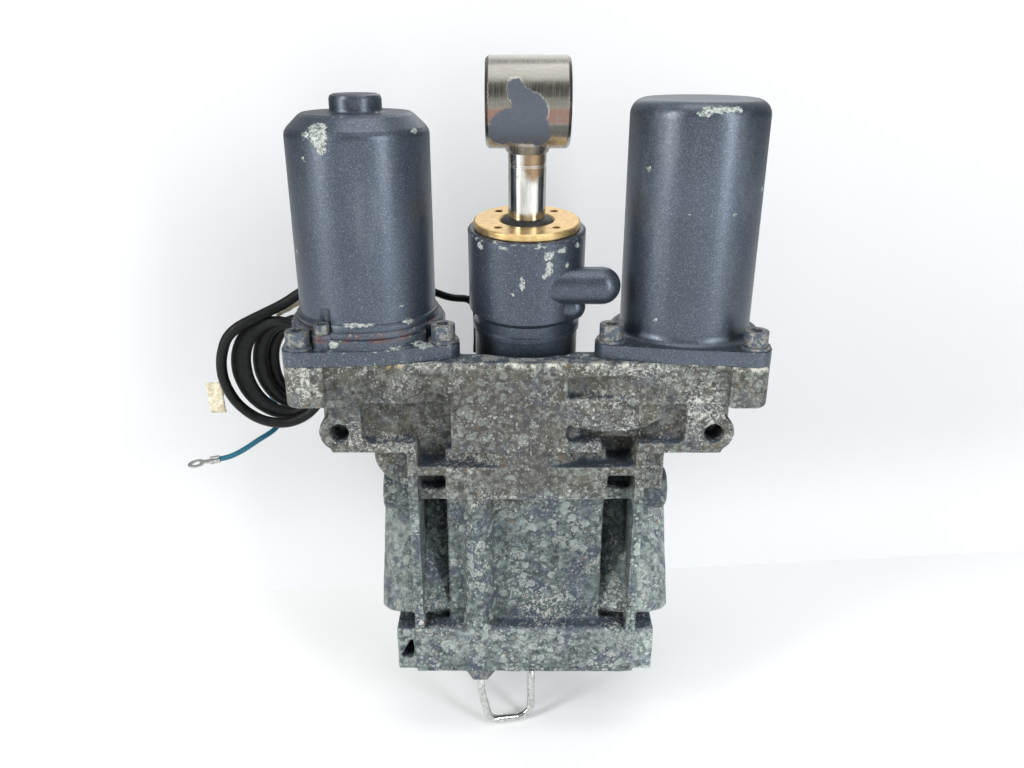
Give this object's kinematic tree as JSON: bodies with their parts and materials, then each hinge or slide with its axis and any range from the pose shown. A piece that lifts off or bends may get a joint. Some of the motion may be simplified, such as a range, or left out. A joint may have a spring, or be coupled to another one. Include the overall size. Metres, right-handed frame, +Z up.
{
  "type": "power trim and tilt unit",
  "caption": "Hydraulic power trim and tilt unit for an outboard motor: electric pump motor, oil reservoir, tilt cylinder with rod eye and trim rams on one cast manifold.",
  "frame": {"origin": "midpoint between the two bracket-bolt holes, on the front face of the ears", "axes": "+X from the motor to the reservoir, +Y to the rear (away from the ears' front face), +Z up along the motor and reservoir cans"},
  "size_m": [0.3511, 0.1252, 0.4055],
  "materials": {
    "cast_alloy": "weathered bead-cast aluminium with white oxide bloom and traces of dark paint",
    "flake_paint": "dark blue-grey metallic flake enamel, chipped to primer at edges",
    "zinc_steel": "plated steel fasteners, paint partly worn off",
    "bright_steel": "hard-chromed ground steel with light brown staining",
    "eye_steel": "turned steel with brown stains and a patch of old paint",
    "gold_anodised": "gold anodised aluminium, satin",
    "stainless": "polished stainless tube",
    "machined_alloy": "machined aluminium",
    "steel_part": "machined steel",
    "bronze": "sintered bronze",
    "copper_wire": "enamelled copper",
    "ferrite": "dark ceramic magnet",
    "carbon": "carbon graphite",
    "seal_rubber": "black nitrile",
    "black_sheath": "black vinyl cable sheath, satin",
    "tie_nylon": "black nylon",
    "tape_cream": "aged cream marker tape, blank",
    "wire_colour": "blue and green wire insulation",
    "tinned": "tinned copper terminal",
    "brush_board": "brown phenolic board",
    "mesh_plastic": "cream moulded strainer"
  },
  "bodies": {
    "manifold": {"brush_holder": "brush_board", "brushes": "carbon", "cable_tie": "tie_nylon", "filler_plug": "zinc_steel", "flange_bolts": "zinc_steel", "flange_o_rings": "seal_rubber", "flange_washers": "zinc_steel", "hydraulic_pipe": "stainless", "lead_wires": "wire_colour", "lower_pivot_pin": "bright_steel", "manifold_casting": "cast_alloy", "motor_bearings": "steel_part", "motor_can": "flake_paint", "motor_clamp_screws": "zinc_steel", "motor_flange": "flake_paint", "motor_lead_coil": "black_sheath", "motor_magnets": "ferrite", "motor_shaft_seal": "seal_rubber", "oil_strainer": "mesh_plastic", "pin_snap_rings": "zinc_steel", "pipe_nut_base": "zinc_steel", "pump_body": "machined_alloy", "pump_end_plate": "machined_alloy", "pump_screws": "steel_part", "relief_plug": "zinc_steel", "relief_spring": "steel_part", "reservoir_can": "flake_paint", "ring_terminal": "tinned", "sensor_cable": "black_sheath", "shuttle_plug": "zinc_steel", "tape_labels": "tape_cream", "trim_glands": "gold_anodised", "trim_wiper_seals": "seal_rubber"},
    "rotor": {"armature_shaft": "steel_part", "armature_core": "steel_part", "armature_windings": "copper_wire", "commutator": "copper_wire", "drive_coupling": "steel_part", "pump_drive_gear": "steel_part"},
    "driven_gear": {"pump_driven_gear": "steel_part"},
    "tilt_cylinder": {"tilt_barrel": "flake_paint", "tilt_gland": "gold_anodised", "gland_o_ring": "seal_rubber", "tilt_dust_seal": "seal_rubber", "pipe_nut_tilt": "zinc_steel", "pivot_bushes": "bronze"},
    "tilt_ram": {"tilt_rod": "bright_steel", "rod_eye": "eye_steel", "eye_bushes": "bronze", "tilt_piston": "machined_alloy", "tilt_piston_seal": "seal_rubber", "piston_nut": "steel_part"},
    "floating_piston": {"free_piston": "machined_alloy"},
    "trim_ram_left": {"trim_rod_left": "bright_steel", "trim_piston_left": "machined_alloy"},
    "trim_ram_right": {"trim_rod_right": "bright_steel", "trim_piston_right": "machined_alloy"},
    "shuttle": {"shuttle_piston": "steel_part"},
    "relief_valve_ball": {"relief_ball": "steel_part"},
    "release_screw": {"manual_release_screw": "zinc_steel"}
  },
  "joints": [
    {"name": "armature_spin", "type": "hinge", "parent": "manifold", "child": "rotor", "pos_m": [-0.0885, 0.039, 0.1], "axis": [0, 0, 1], "continuous": true},
    {"name": "driven_gear_spin", "type": "hinge", "parent": "manifold", "child": "driven_gear", "pos_m": [-0.0885, 0.054, 0.005], "axis": [0, 0, 1], "continuous": true},
    {"name": "tilt_pivot", "type": "hinge", "parent": "manifold", "child": "tilt_cylinder", "pos_m": [0, 0.063, -0.147], "axis": [-1, 0, 0], "range_deg": [-1.5, 8]},
    {"name": "tilt_rod_slide", "type": "slide", "parent": "tilt_cylinder", "child": "tilt_ram", "axis": [0, -0.0958, 0.9954], "range_m": [-0.014, 0.11]},
    {"name": "free_piston_slide", "type": "slide", "parent": "tilt_cylinder", "child": "floating_piston", "axis": [0, -0.0958, 0.9954], "range_m": [-0.014, 0.11]},
    {"name": "trim_slide_left", "type": "slide", "parent": "manifold", "child": "trim_ram_left", "axis": [0, 0.5039, 0.8637], "range_m": [0, 0.06]},
    {"name": "trim_slide_right", "type": "slide", "parent": "manifold", "child": "trim_ram_right", "axis": [0, 0.5039, 0.8637], "range_m": [0, 0.06]},
    {"name": "shuttle_slide", "type": "slide", "parent": "manifold", "child": "shuttle", "axis": [0, 1, 0], "range_m": [-0.0015, 0.0015]},
    {"name": "relief_ball_lift", "type": "slide", "parent": "manifold", "child": "relief_valve_ball", "axis": [0, 1, 0], "range_m": [0, 0.0002]},
    {"name": "release_screw_turn", "type": "hinge", "parent": "manifold", "child": "release_screw", "pos_m": [0.05, 0.055, -0.006], "axis": [0, 1, 0], "range_deg": [0, 720]}
  ],
  "couplings": [
    {"joint": "driven_gear_spin", "follows": "armature_spin", "ratio": -1},
    {"joint": "free_piston_slide", "follows": "tilt_rod_slide", "ratio": 1},
    {"joint": "trim_slide_right", "follows": "trim_slide_left", "ratio": 1}
  ]
}
